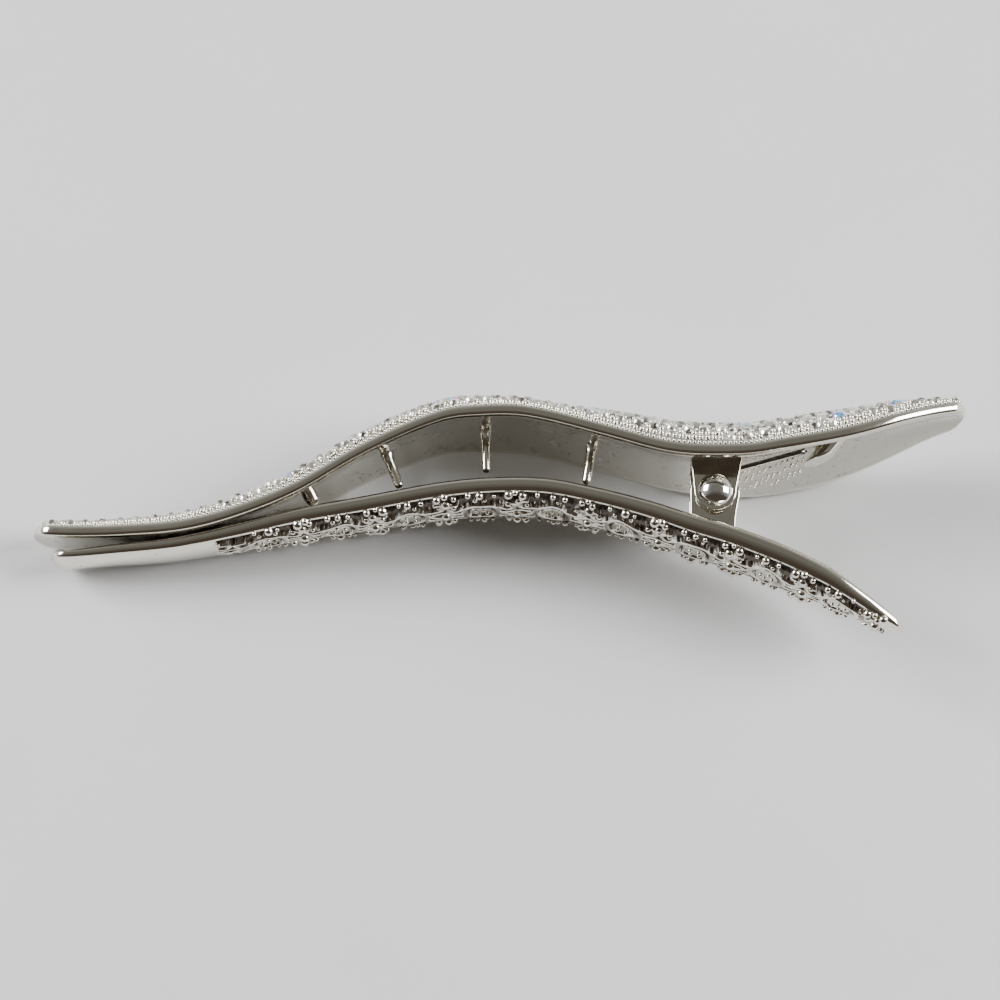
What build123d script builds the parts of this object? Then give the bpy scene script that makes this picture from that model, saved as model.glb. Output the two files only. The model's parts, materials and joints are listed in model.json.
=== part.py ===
from build123d import *
from math import asin, atan2, cos, degrees, hypot, sin, sqrt
import os

os.makedirs("parts", exist_ok=True)

# Rhinestone hair clip, lying on its side.  All dimensions in millimetres.
#
# The clip is drawn in its own upright frame first: X runs from the hair tip to the
# finger tail, Y from the plain jaw to the stone-set jaw, Z along the hinge.  The
# hinge axis crosses the middle plane at the origin.  Every piece is then laid down
# the way the clip rests by itself: on three places along one rim of the upper jaw.

# ---- how the clip lies on the table: roll, pitch, and where the hinge comes ----
LIE_ROLL = 3.688
LIE_PITCH = -3.622
HINGE_PLACE = (26.4445, 2.1005, 9.176)

# ---- stone-set upper jaw: length, rim line, width, thickness ----
UPPER_TIP = -84.2
UPPER_TAIL = 31.3
UPPER_RIM = [
    (-84.2, -5.4), (-79.0, -5.7), (-73.0, -5.7), (-65.2, -5.2), (-58.8, -3.65),
    (-51.5, -0.8), (-42.8, 4.2), (-33.7, 8.0), (-28.4, 8.5), (-22.9, 8.2),
    (-13.3, 5.7), (-5.6, 3.6), (0.5, 3.0), (6.1, 3.15), (16.3, 5.3),
    (26.7, 9.1), (31.3, 10.4),
]
UPPER_HALF_WIDTH = [
    (-84.2, 3.2), (-73.9, 3.9), (-65.2, 4.6), (-51.5, 5.7), (-42.8, 6.3),
    (-34.0, 7.1), (-27.0, 7.9), (-18.0, 8.3), (-6.0, 8.2), (3.0, 9.2),
    (8.0, 9.8), (14.0, 9.3), (21.5, 7.6), (27.0, 5.2), (31.3, 3.4),
]
UPPER_CREST = [
    (-84.2, 1.0), (-65.2, 1.9), (-51.5, 3.0), (-42.0, 3.1), (-34.0, 2.9),
    (-20.0, 2.8), (-12.0, 4.0), (-6.0, 4.6), (8.0, 4.8), (14.0, 4.5),
    (21.5, 3.4), (27.0, 1.9), (31.3, 0.8),
]
UPPER_HOLLOW = [
    (-84.2, 0.1), (-62.0, 0.15), (-50.0, 0.8), (-42.0, 0.5), (-28.0, 0.25),
    (-18.0, 0.5), (-4.0, 0.9), (0.0, 1.2), (5.0, 1.7), (11.0, 2.3),
    (16.0, 2.2), (22.0, 1.6), (31.3, 0.2),
]
UPPER_BAND = 1.25
UPPER_NOSE = 2.6
UPPER_TAIL_NOSE = 1.6

# ---- plain lower jaw with the cast ornament ----
LOWER_TIP = -81.9
LOWER_TAIL = 22.8
LOWER_RIM = [
    (-81.9, -7.2), (-79.4, -7.15), (-73.9, -6.5), (-65.9, -5.55), (-58.8, -4.0),
    (-51.7, -2.3), (-42.9, -0.84), (-34.0, 0.67), (-28.0, 1.2), (-20.8, 1.05),
    (-14.3, -0.24), (-8.0, -1.9), (-3.1, -3.5), (1.6, -4.9), (5.9, -6.5),
    (10.2, -8.3), (14.4, -10.3), (18.8, -13.2), (22.8, -16.2),
]
LOWER_HALF_WIDTH = [
    (-81.9, 2.5), (-73.9, 2.8), (-65.9, 3.1), (-58.8, 3.5), (-51.7, 4.0),
    (-42.9, 4.6), (-34.0, 5.2), (-20.8, 5.8), (5.9, 5.7), (10.2, 5.4),
    (14.4, 4.5), (18.8, 3.0), (22.8, 1.3),
]
LOWER_BAND = [
    (-81.9, 0.8), (-73.9, 1.2), (-65.9, 1.4), (-51.7, 1.8), (-14.3, 1.9),
    (0.0, 2.3), (14.4, 2.4), (18.8, 2.0), (22.8, 0.9),
]
LOWER_CREST = [(-81.9, 0.7), (-65.0, 0.7), (-45.0, 0.9), (10.0, 1.0), (22.8, 0.3)]
LOWER_HOLLOW = [
    (-81.9, 0.1), (-74.0, 0.2), (-62.0, 0.8), (-45.0, 1.5), (10.0, 1.9),
    (18.0, 0.9), (22.8, 0.1),
]
LOWER_NOSE = 2.0
LOWER_TAIL_NOSE = 1.2

RIM_EDGE = 0.35
RIM_LAND = 1.25
SIDE_BULGE = 0.12

# ---- hinge ----
EAR_THICKNESS = 1.0
UPPER_EAR_OUTSIDE = 4.0
UPPER_EAR_FRONT = 3.1
UPPER_EAR_BACK = 3.7
UPPER_EAR_TOP = 6.0
UPPER_EAR_RADIUS = 2.6
EAR_GAP = 0.06
LOWER_EAR_RADIUS = 3.05
LOWER_EAR_FOOT = -6.6
LOWER_EAR_FOOT_HALF_WIDTH = 2.2
RIVET_RADIUS = 1.1
RIVET_CLEARANCE = 0.05
RIVET_HEAD_RADIUS = 2.1
RIVET_HEAD_HEIGHT = 1.25

# ---- torsion spring ----
WIRE_RADIUS = 0.36
COIL_RADIUS = 2.45
COIL_HALF_LENGTH = 1.5
COIL_TURNS = 3.0
UPPER_LEG_END = (11.2, 5.75)
LOWER_LEG_END = (9.5, -8.75)

# ---- keeper boss on the tail, and the holding pins ----
KEEPER_RADIUS = 1.95
KEEPER_FOOT = (15.2, 7.9)
KEEPER_END = (12.75, 4.8)
KEEPER_FACE_TILT = 14.0
PIN_RADIUS = 0.62
PIN_FOOT_RADIUS = 1.5
PIN_FOOT_HEIGHT = 2.3
PINS = [
    ((-40.9, 6.6), (-39.0, 1.75)),
    ((-28.4, 9.9), (-28.2, 3.95)),
    ((-15.0, 7.9), (-15.8, 2.4)),
]
STUB_FOOT = (-50.6, 1.6)
STUB_END = (-49.6, -0.3)
STUB_RADIUS = 0.95

# ---- rhinestones ----
STONE_LARGE = 0.92
STONE_SMALL = 0.68
STONE_HEIGHT = 0.62
STONE_TABLE = 0.55
STONE_SUNK = 0.34
ROW_PITCH = 2.02
STONE_PITCH = 2.06
RIM_MARGIN = 0.95
FIRST_STONE = -82.6
LAST_STONE = 30.2
SEAT_GAP = 0.04
IRIDESCENT_EVERY = 9
IRIDESCENT_FIRST = 4

# ---- cast ornament of the lower jaw ----
MOTIF_START = -55.0
MOTIF_END = 15.0
MOTIF_COUNT = 9
FRAME_HEIGHT = 0.5
FRAME_LENGTH = 4.4
FRAME_WIDTH = 2.7
FRAME_RIB = 0.6
BEAD_RADIUS = 0.5
WINDOW_RADIUS = 0.42
WINDOW_SPREAD = 2.7
WINDOW_SHARE = 0.5


def smooth(knots, x):
    """Height of the flowing curve through the knots at x."""
    last = len(knots) - 1
    x = min(max(x, knots[0][0]), knots[last][0])
    i = 0
    while i < last - 1 and x > knots[i + 1][0]:
        i += 1
    x0, y0 = knots[i]
    x1, y1 = knots[i + 1]
    before = knots[max(i - 1, 0)]
    after = knots[min(i + 2, last)]
    slope0 = (y1 - before[1]) / (x1 - before[0])
    slope1 = (after[1] - y0) / (after[0] - x0)
    span = x1 - x0
    t = (x - x0) / span
    start = (1 + 2 * t) * (1 - t) ** 2 * y0 + t * (1 - t) ** 2 * slope0 * span
    end = t * t * (3 - 2 * t) * y1 + t * t * (t - 1) * slope1 * span
    return start + end


def rounding(x, first, first_nose, final, final_nose):
    """1 along the body, falling to 0 round each end like a nose."""
    factor = 1.0
    for distance, nose in ((x - first, first_nose), (final - x, final_nose)):
        if distance < nose:
            factor *= sqrt(max(1 - (1 - distance / nose) ** 2, 0))
    return factor


class Jaw:
    """A curved casting with an arched cross-section that changes along its length."""

    def __init__(self, ends, noses, rim, half_width, band, crest, hollow, outward):
        self.ends = ends
        self.noses = noses
        self.rim = rim
        self.half_width = half_width
        self.band = band
        self.crest = crest
        self.hollow = hollow
        self.outward = outward

    def measures(self, x):
        """Rim height, half width, band height, crest rise and hollow depth at x."""
        factor = rounding(x, self.ends[0], self.noses[0], self.ends[1], self.noses[1])
        band = smooth(self.band, x)
        crest = smooth(self.crest, x)
        lift = (1 - factor) * 0.5 * band * self.outward
        return (
            smooth(self.rim, x) + lift,
            smooth(self.half_width, x) * factor,
            band * factor,
            crest * factor,
            smooth(self.hollow, x) * factor,
        )

    def outer_height(self, x, z):
        """Height of the outer face over the point x, z."""
        rim, w, band, crest, _ = self.measures(x)
        rise = arc_rise(w, crest, z)
        return rim + self.outward * (band + rise)

    def section(self, x):
        """One closed cross-section in the plane at x."""
        rim, w, band, crest, hollow = self.measures(x)
        edge = min(RIM_EDGE, 0.2 * w)
        land = min(RIM_LAND, 0.45 * w)

        def at(z, height):
            return Vector(x, rim + self.outward * height, z)

        outer = Edge.make_three_point_arc(at(-w, band), at(0, band + crest), at(w, band))
        side = Edge.make_three_point_arc(
            at(w, band), at(w + SIDE_BULGE * band, 0.45 * band), at(w - edge, 0)
        )
        foot = Edge.make_line(at(w - edge, 0), at(w - land, 0))
        inner = Edge.make_three_point_arc(at(w - land, 0), at(0, hollow), at(land - w, 0))
        far_foot = Edge.make_line(at(land - w, 0), at(edge - w, 0))
        far_side = Edge.make_three_point_arc(
            at(edge - w, 0), at(-w - SIDE_BULGE * band, 0.45 * band), at(-w, band)
        )
        return Wire([outer, side, foot, inner, far_foot, far_side])

    def stations(self, step):
        """Places along the length where the section is drawn, closer at both ends."""
        first, final = self.ends
        near = [first + d for d in (0.12, 0.5, 1.2, 2.4)]
        far = [final - d for d in (3.6, 1.6, 0.7, 0.25)]
        count = int(round((far[0] - near[-1]) / step))
        pitch = (far[0] - near[-1]) / count
        middle = [near[-1] + i * pitch for i in range(1, count)]
        return near + middle + far

    def body(self, step=4.2):
        return Solid.make_loft([self.section(x) for x in self.stations(step)])


def arc_rise(half_width, crest, z):
    """Rise at z of the circular arch that spans the half width and peaks at crest."""
    if crest < 0.01 or abs(z) >= half_width:
        return 0.0
    radius = (half_width**2 + crest**2) / (2 * crest)
    return sqrt(radius**2 - z * z) - (radius - crest)


def peg(foot, end, foot_radius, end_radius):
    """A straight tapered peg in the middle plane from foot to end."""
    (x0, y0), (x1, y1) = foot, end
    plane = Plane(origin=(x0, y0, 0), x_dir=(0, 0, 1), z_dir=(x1 - x0, y1 - y0, 0))
    length = hypot(x1 - x0, y1 - y0)
    return plane * Cone(
        foot_radius, end_radius, length, align=(Align.CENTER, Align.CENTER, Align.MIN)
    )


def holding_pin(foot, end):
    """A round pin with a flared foot and a rounded end."""
    (x0, y0), (x1, y1) = foot, end
    length = hypot(x1 - x0, y1 - y0)
    share = PIN_FOOT_HEIGHT / length
    knee = (x0 + share * (x1 - x0), y0 + share * (y1 - y0))
    flare = peg(foot, knee, PIN_FOOT_RADIUS, PIN_RADIUS)
    shank = peg(foot, end, PIN_RADIUS, PIN_RADIUS * 0.95)
    tip = Pos(x1, y1, 0) * Sphere(PIN_RADIUS * 0.95)
    return flare + shank + tip


def keeper_boss():
    """The leaning round boss that traps the end of the spring leg, its face along the tail."""
    rings = []
    for place in (KEEPER_FOOT, KEEPER_END):
        flat = Pos(*place) * Rot(Z=KEEPER_FACE_TILT) * Rot(X=90)
        rings.append((flat * Circle(KEEPER_RADIUS)).face().outer_wire())
    return Solid.make_loft(rings, True)


def ear(outline, inside):
    """A flat hinge ear with the given outline, its inner face at height inside."""
    return extrude(Pos(0, 0, inside) * outline, EAR_THICKNESS)


def upper_ear_outline():
    """Broad at the casting, tapering to a round end about the rivet."""
    side = UPPER_EAR_RADIUS
    corners = [
        (-UPPER_EAR_FRONT, UPPER_EAR_TOP),
        (-side, 0),
        (side, 0),
        (UPPER_EAR_BACK, UPPER_EAR_TOP),
    ]
    return make_face(Polyline(*corners, close=True)) + Circle(UPPER_EAR_RADIUS)


def lower_ear_outline():
    """A round head about the rivet on a narrower stem."""
    stem = [
        (-LOWER_EAR_FOOT_HALF_WIDTH - 0.6, LOWER_EAR_FOOT + 0.6),
        (-LOWER_EAR_RADIUS, 0),
        (LOWER_EAR_RADIUS, 0),
        (LOWER_EAR_FOOT_HALF_WIDTH, LOWER_EAR_FOOT),
    ]
    return make_face(Polyline(*stem, close=True)) + Circle(LOWER_EAR_RADIUS)


def rivet_hole():
    return Cylinder(RIVET_RADIUS + RIVET_CLEARANCE, 4 * UPPER_EAR_OUTSIDE)


def upper_jaw_shape():
    return Jaw(
        (UPPER_TIP, UPPER_TAIL), (UPPER_NOSE, UPPER_TAIL_NOSE), UPPER_RIM,
        UPPER_HALF_WIDTH, [(UPPER_TIP, UPPER_BAND), (UPPER_TAIL, UPPER_BAND)],
        UPPER_CREST, UPPER_HOLLOW, 1,
    )


def lower_jaw_shape():
    return Jaw(
        (LOWER_TIP, LOWER_TAIL), (LOWER_NOSE, LOWER_TAIL_NOSE), LOWER_RIM,
        LOWER_HALF_WIDTH, LOWER_BAND, LOWER_CREST, LOWER_HOLLOW, -1,
    )


def upper_jaw(seats):
    """The stone-set casting with its ears, pins and keeper boss."""
    casting = upper_jaw_shape().body()
    inside = UPPER_EAR_OUTSIDE - EAR_THICKNESS
    additions = [ear(upper_ear_outline(), inside)]
    additions.append(ear(upper_ear_outline(), -UPPER_EAR_OUTSIDE))
    additions.append(keeper_boss())
    additions.append(peg(STUB_FOOT, STUB_END, STUB_RADIUS, STUB_RADIUS * 0.8))
    for foot, end in PINS:
        additions.append(holding_pin(foot, end))
    whole = casting.fuse(*[solid for piece in additions for solid in piece.solids()])
    return whole.cut(rivet_hole(), *seats)


def lower_jaw():
    """The plain casting with its ears."""
    casting = lower_jaw_shape().body()
    outside = UPPER_EAR_OUTSIDE - EAR_THICKNESS - EAR_GAP
    additions = [ear(lower_ear_outline(), outside - EAR_THICKNESS)]
    additions.append(ear(lower_ear_outline(), -outside))
    raised, windows = ornament(lower_jaw_shape())
    additions += raised
    whole = casting.fuse(*[solid for piece in additions for solid in piece.solids()])
    return whole.cut(rivet_hole(), *windows)


def rivet():
    """The hinge rivet: a plain shank with a domed head outside each ear."""
    shank = Cylinder(RIVET_RADIUS, 2 * UPPER_EAR_OUTSIDE)
    rise, foot = RIVET_HEAD_HEIGHT, RIVET_HEAD_RADIUS
    ball = (foot**2 + rise**2) / (2 * rise)
    keep = Pos(0, 0, UPPER_EAR_OUTSIDE) * Cylinder(
        foot, rise, align=(Align.CENTER, Align.CENTER, Align.MIN)
    )
    head = keep & (Pos(0, 0, UPPER_EAR_OUTSIDE + rise - ball) * Sphere(ball))
    return shank + head + mirror(head, about=Plane.XY)


def tangent_start(end, side):
    """Where a straight leg that reaches end leaves the coil, on the side given."""
    distance = hypot(*end)
    away = asin(COIL_RADIUS / distance)
    bearing = atan2(end[1], end[0])
    direction = bearing - side * away
    return (-side * COIL_RADIUS * sin(direction), side * COIL_RADIUS * cos(direction))


def torsion_spring():
    """A close coil round the rivet with one straight leg along each tail."""
    upper_start = tangent_start(UPPER_LEG_END, 1)
    lower_start = tangent_start(LOWER_LEG_END, -1)
    upper_angle = degrees(atan2(upper_start[1], upper_start[0]))
    lower_angle = degrees(atan2(lower_start[1], lower_start[0]))
    sweep_angle = 360 * COIL_TURNS + (upper_angle - lower_angle)
    pitch = 2 * COIL_HALF_LENGTH / (sweep_angle / 360)
    coil = Rot(Z=lower_angle) * Pos(0, 0, -COIL_HALF_LENGTH) * Helix(
        pitch, 2 * COIL_HALF_LENGTH, COIL_RADIUS
    )
    start, finish = coil @ 0, coil @ 1
    lower_leg = Line((*LOWER_LEG_END, start.Z), start)
    upper_leg = Line(finish, (*UPPER_LEG_END, finish.Z))
    pieces = []
    for path in (lower_leg, coil, upper_leg):
        ring = Plane(origin=path @ 0, z_dir=path % 0) * Circle(WIRE_RADIUS)
        pieces.append(sweep(ring, path=path, is_frenet=True))
    for corner in (start, finish):
        pieces.append(Pos(*corner) * Sphere(WIRE_RADIUS))
    return pieces[0].fuse(*pieces[1:])


def seat_plane(jaw, x, z):
    """The plane that touches the outer face at x, z."""
    step = 0.05
    height = jaw.outer_height(x, z)
    along = Vector(2 * step, jaw.outer_height(x + step, z) - jaw.outer_height(x - step, z), 0)
    across = Vector(0, jaw.outer_height(x, z + step) - jaw.outer_height(x, z - step), 2 * step)
    normal = across.cross(along).normalized() * jaw.outward
    return Plane(origin=Vector(x, height, z), x_dir=along, z_dir=normal)


def stone_places(jaw):
    """Rows of stones over the outer face: (x, z, size) of each."""
    places = []
    rows = int(max(w for _, w in UPPER_HALF_WIDTH) / ROW_PITCH)
    for row in range(-rows, rows + 1):
        x = FIRST_STONE + (0.5 * STONE_PITCH if row % 2 else 0)
        while x < LAST_STONE:
            width = jaw.measures(x)[1] - RIM_MARGIN
            share = abs(row) * ROW_PITCH
            if share <= width:
                outermost = share + ROW_PITCH > width
                size = STONE_SMALL if outermost else STONE_LARGE
                places.append((x, row * ROW_PITCH, size))
            x += STONE_PITCH
    return places


def stone(plane, size):
    """One faceted stone: a girdle with a bevelled crown and a flat table."""
    girdle = plane * Pos(0, 0, -STONE_SUNK) * RegularPolygon(size, 8)
    belt = plane * Pos(0, 0, 0.35 * STONE_HEIGHT - STONE_SUNK) * RegularPolygon(size, 8)
    table = plane * Pos(0, 0, STONE_HEIGHT - STONE_SUNK) * RegularPolygon(size * STONE_TABLE, 8)
    return Solid.make_loft([ring.face().outer_wire() for ring in (girdle, belt, table)], True)


def seat(plane, size):
    """The round flat-bottomed pocket that holds one stone."""
    depth = STONE_SUNK + size
    pocket = Cylinder(size + SEAT_GAP, depth, align=(Align.CENTER, Align.CENTER, Align.MIN))
    return (plane * Pos(0, 0, -STONE_SUNK) * pocket).solid()


def stone_groups(jaw):
    """Every stone sorted into its group, and the seat of each."""
    groups = {"crest_stones": [], "field_stones": [], "border_stones": [], "iridescent_stones": []}
    seats = []
    for count, (x, z, size) in enumerate(stone_places(jaw)):
        plane = seat_plane(jaw, x, z)
        if count % IRIDESCENT_EVERY == IRIDESCENT_FIRST and size == STONE_LARGE:
            name = "iridescent_stones"
        elif size == STONE_SMALL:
            name = "border_stones"
        elif z == 0:
            name = "crest_stones"
        else:
            name = "field_stones"
        groups[name].append(stone(plane, size))
        seats.append(seat(plane, size))
    return groups, seats


def oval_frame(plane):
    """A raised oval ring cast on the outer face."""
    outline = Ellipse(FRAME_LENGTH / 2, FRAME_WIDTH / 2)
    opening = Ellipse(FRAME_LENGTH / 2 - FRAME_RIB, FRAME_WIDTH / 2 - FRAME_RIB)
    return extrude(plane * Pos(0, 0, -FRAME_HEIGHT) * (outline - opening), 2 * FRAME_HEIGHT)


def bead(plane):
    """A round cast bead half sunk in the outer face."""
    return plane * Sphere(BEAD_RADIUS)


def ornament(jaw):
    """Raised pieces and pierced windows of the outer face, motif by motif."""
    raised, windows = [], []
    pitch = (MOTIF_END - MOTIF_START) / (MOTIF_COUNT - 1)
    for i in range(MOTIF_COUNT):
        x = MOTIF_START + i * pitch
        raised.append(oval_frame(seat_plane(jaw, x, 0)))
        between = x + pitch / 2
        raised.append(bead(seat_plane(jaw, between, 0)))
        for side in (-1, 1):
            reach = jaw.measures(between)[1]
            for shift, inset in ((-0.75, 0.75), (0.75, 0.75), (0, 1.6)):
                z = side * (reach - inset)
                raised.append(bead(seat_plane(jaw, between + shift, z)))
            for shift in (-WINDOW_SPREAD, WINDOW_SPREAD):
                z = side * WINDOW_SHARE * jaw.measures(x + shift)[1]
                hole = Cylinder(WINDOW_RADIUS, 3 * RIM_LAND)
                windows.append(seat_plane(jaw, x + shift, z) * hole)
    return raised, windows


def lie_down(shape):
    """Lay the upright clip on its side, over the middle of its footprint."""
    return Pos(*HINGE_PLACE) * Rot(Y=LIE_PITCH) * Rot(X=LIE_ROLL) * shape


def main():
    groups, seats = stone_groups(upper_jaw_shape())
    nodes = {
        "upper_jaw": [upper_jaw(seats)],
        "lower_jaw": [lower_jaw()],
        "hinge_rivet": [rivet()],
        "torsion_spring": [torsion_spring()],
        **groups,
    }
    for name, solids in nodes.items():
        laid = [lie_down(solid) for solid in solids]
        export_step(laid[0] if len(laid) == 1 else Compound(children=laid), f"parts/{name}.step")


main()
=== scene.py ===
import bmesh
import bpy
import json
import math
import numpy as np
from mathutils import Matrix, Vector


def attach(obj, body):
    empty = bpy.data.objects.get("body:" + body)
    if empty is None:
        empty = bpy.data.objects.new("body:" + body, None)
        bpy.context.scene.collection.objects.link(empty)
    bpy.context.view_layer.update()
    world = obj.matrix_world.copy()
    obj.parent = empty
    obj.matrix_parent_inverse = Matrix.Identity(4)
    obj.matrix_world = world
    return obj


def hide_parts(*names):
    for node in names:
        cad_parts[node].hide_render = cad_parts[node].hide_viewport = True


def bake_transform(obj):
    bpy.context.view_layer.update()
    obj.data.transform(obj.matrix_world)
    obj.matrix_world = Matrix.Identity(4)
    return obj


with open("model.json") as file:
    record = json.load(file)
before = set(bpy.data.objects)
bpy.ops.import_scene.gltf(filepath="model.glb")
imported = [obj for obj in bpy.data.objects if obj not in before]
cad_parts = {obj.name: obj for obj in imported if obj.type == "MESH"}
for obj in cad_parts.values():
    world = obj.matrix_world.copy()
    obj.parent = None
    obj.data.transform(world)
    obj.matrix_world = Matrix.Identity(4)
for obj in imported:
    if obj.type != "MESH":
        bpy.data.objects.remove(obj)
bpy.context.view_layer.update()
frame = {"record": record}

MM = 0.001

# The clip is drawn upright, X along it, Y towards the stones, Z along the hinge, and
# then laid on its side about the hinge.
LIE_ROLL = math.radians(3.688)
LIE_PITCH = math.radians(-3.622)
HINGE = Vector(frame["record"]["behaviour"]["joints"][0]["pos_m"])
LAY = Matrix.Translation(HINGE) @ Matrix.Rotation(LIE_PITCH, 4, "Y") @ Matrix.Rotation(LIE_ROLL, 4, "X")
LAY_ARRAY = np.array(LAY)

UPPER = {
    "ends": (-84.2, 31.3),
    "noses": (2.6, 1.6),
    "outward": 1,
    "bulge": 0.12,
    "rim": [(-84.2, -5.4), (-79, -5.7), (-73, -5.7), (-65.2, -5.2), (-58.8, -3.65), (-51.5, -0.8),
            (-42.8, 4.2), (-33.7, 8), (-28.4, 8.5), (-22.9, 8.2), (-13.3, 5.7), (-5.6, 3.6),
            (0.5, 3), (6.1, 3.15), (16.3, 5.3), (26.7, 9.1), (31.3, 10.4)],
    "half_width": [(-84.2, 3.2), (-73.9, 3.9), (-65.2, 4.6), (-51.5, 5.7), (-42.8, 6.3),
                   (-34, 7.1), (-27, 7.9), (-18, 8.3), (-6, 8.2), (3, 9.2), (8, 9.8), (14, 9.3),
                   (21.5, 7.6), (27, 5.2), (31.3, 3.4)],
    "band": [(-84.2, 1.25), (31.3, 1.25)],
    "crest": [(-84.2, 1), (-65.2, 1.9), (-51.5, 3), (-42, 3.1), (-34, 2.9), (-20, 2.8), (-12, 4),
              (-6, 4.6), (8, 4.8), (14, 4.5), (21.5, 3.4), (27, 1.9), (31.3, 0.8)],
    "hollow": [(-84.2, 0.1), (-62, 0.15), (-50, 0.8), (-42, 0.5), (-28, 0.25), (-18, 0.5),
               (-4, 0.9), (0, 1.2), (5, 1.7), (11, 2.3), (16, 2.2), (22, 1.6), (31.3, 0.2)],
}
LOWER = {
    "ends": (-81.9, 22.8),
    "noses": (2.0, 1.2),
    "outward": -1,
    "bulge": 0.22,
    "rim": [(-81.9, -7.2), (-79.4, -7.15), (-73.9, -6.5), (-65.9, -5.55), (-58.8, -4),
            (-51.7, -2.3), (-42.9, -0.84), (-34, 0.67), (-28, 1.2), (-20.8, 1.05), (-14.3, -0.24),
            (-8, -1.9), (-3.1, -3.5), (1.6, -4.9), (5.9, -6.5), (10.2, -8.3), (14.4, -10.3),
            (18.8, -13.2), (22.8, -16.2)],
    "half_width": [(-81.9, 2.5), (-73.9, 2.8), (-65.9, 3.1), (-58.8, 3.5), (-51.7, 4),
                   (-42.9, 4.6), (-34, 5.2), (-20.8, 5.8), (5.9, 5.7), (10.2, 5.4), (14.4, 4.5),
                   (18.8, 3), (22.8, 1.3)],
    "band": [(-81.9, 0.8), (-73.9, 1.2), (-65.9, 1.4), (-51.7, 1.8), (-14.3, 1.9), (0, 2.3),
             (14.4, 2.4), (18.8, 2), (22.8, 0.9)],
    "crest": [(-81.9, 0.7), (-65, 0.7), (-45, 0.9), (10, 1), (22.8, 0.3)],
    "hollow": [(-81.9, 0.1), (-74, 0.2), (-62, 0.8), (-45, 1.5), (10, 1.9), (18, 0.9),
               (22.8, 0.1)],
}


# ---------------------------------------------------------------- shape helpers
def smooth(knots, x):
    """The flowing curve through the knots, read at every x."""
    x = np.clip(np.asarray(x, float), knots[0][0], knots[-1][0])
    at = np.array([k[0] for k in knots])
    value = np.array([k[1] for k in knots])
    i = np.clip(np.searchsorted(at, x, side="left") - 1, 0, len(knots) - 2)
    before = np.clip(i - 1, 0, len(knots) - 1)
    after = np.clip(i + 2, 0, len(knots) - 1)
    slope0 = (value[i + 1] - value[before]) / (at[i + 1] - at[before])
    slope1 = (value[after] - value[i]) / (at[after] - at[i])
    span = at[i + 1] - at[i]
    t = (x - at[i]) / span
    start = (1 + 2 * t) * (1 - t) ** 2 * value[i] + t * (1 - t) ** 2 * slope0 * span
    end = t * t * (3 - 2 * t) * value[i + 1] + t * t * (t - 1) * slope1 * span
    return start + end


def measures(jaw, x):
    """Rim height, half width, band height, crest rise and hollow depth at every x."""
    x = np.asarray(x, float)
    first, final = jaw["ends"]
    factor = np.ones_like(x)
    for distance, nose in ((x - first, jaw["noses"][0]), (final - x, jaw["noses"][1])):
        share = np.clip(distance / nose, 0, 1)
        factor = factor * np.sqrt(np.maximum(1 - (1 - share) ** 2, 0))
    factor = np.maximum(factor, 0.02)
    band = smooth(jaw["band"], x)
    rim = smooth(jaw["rim"], x) + (1 - factor) * 0.5 * band * jaw["outward"]
    width = smooth(jaw["half_width"], x) * factor
    crest = smooth(jaw["crest"], x) * factor
    hollow = smooth(jaw["hollow"], x) * factor
    return rim, width, band * factor, crest, hollow


def arc_rise(width, crest, z):
    """Rise at z of the circular arch that spans the half width and peaks at crest."""
    crest = np.maximum(crest, 1e-3)
    radius = (width ** 2 + crest ** 2) / (2 * crest)
    z = np.minimum(np.abs(z), width)
    return np.sqrt(np.maximum(radius ** 2 - z ** 2, 0)) - (radius - crest)


def outer_height(jaw, x, z):
    rim, width, band, crest, _ = measures(jaw, x)
    return rim + jaw["outward"] * (band + arc_rise(width, crest, z))


def outer_point(jaw, x, z, lift=0.0):
    """Point on the outer face at x, z and the outward direction there, both upright."""
    step = 0.05
    y = float(outer_height(jaw, x, z))
    climb_along = float(outer_height(jaw, x + step, z) - outer_height(jaw, x - step, z))
    climb_across = float(outer_height(jaw, x, z + step) - outer_height(jaw, x, z - step))
    along = Vector((2 * step, climb_along, 0))
    across = Vector((0, climb_across, 2 * step))
    normal = (across.cross(along)).normalized() * jaw["outward"]
    return Vector((x, y, z)) + normal * lift, normal, along.normalized()


def laid(points):
    """Upright millimetre points as metres in the shared frame."""
    p = np.asarray(points, float) * MM
    return p @ LAY_ARRAY[:3, :3].T + LAY_ARRAY[:3, 3]


def make_object(name, points, faces, materials, body,
                material_of=None, smooth_shade=True, crease=None):
    """A mesh piece from upright points; crease is the angle above which edges stay sharp."""
    mesh = bpy.data.meshes.new(name)
    mesh.from_pydata([tuple(p) for p in laid(points)], [], [tuple(f) for f in faces])
    for material in materials:
        mesh.materials.append(material)
    if material_of is not None:
        mesh.polygons.foreach_set("material_index", np.asarray(material_of, np.int32))
    mesh.polygons.foreach_set("use_smooth", [smooth_shade] * len(mesh.polygons))
    mesh.update()
    fresh = bmesh.new()
    fresh.from_mesh(mesh)
    bmesh.ops.recalc_face_normals(fresh, faces=fresh.faces)
    fresh.to_mesh(mesh)
    fresh.free()
    if crease is not None:
        mesh.set_sharp_from_angle(angle=math.radians(crease))
    piece = bpy.data.objects.new(name, mesh)
    bpy.context.scene.collection.objects.link(piece)
    if body:
        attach(piece, body)
    return piece


def grid_faces(rows, columns, closed=True):
    """Quads over a grid of rows by columns, each row a closed loop if asked."""
    faces = []
    last = columns if closed else columns - 1
    for r in range(rows - 1):
        for c in range(last):
            n = (c + 1) % columns
            low, high = r * columns, (r + 1) * columns
            faces.append((low + c, low + n, high + n, high + c))
    return faces


def end_caps(rows, columns):
    """The two faces that close a grid of closed loops at its first and last row."""
    final = (rows - 1) * columns
    return [tuple(reversed(range(columns))), tuple(final + c for c in range(columns))]


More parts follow.
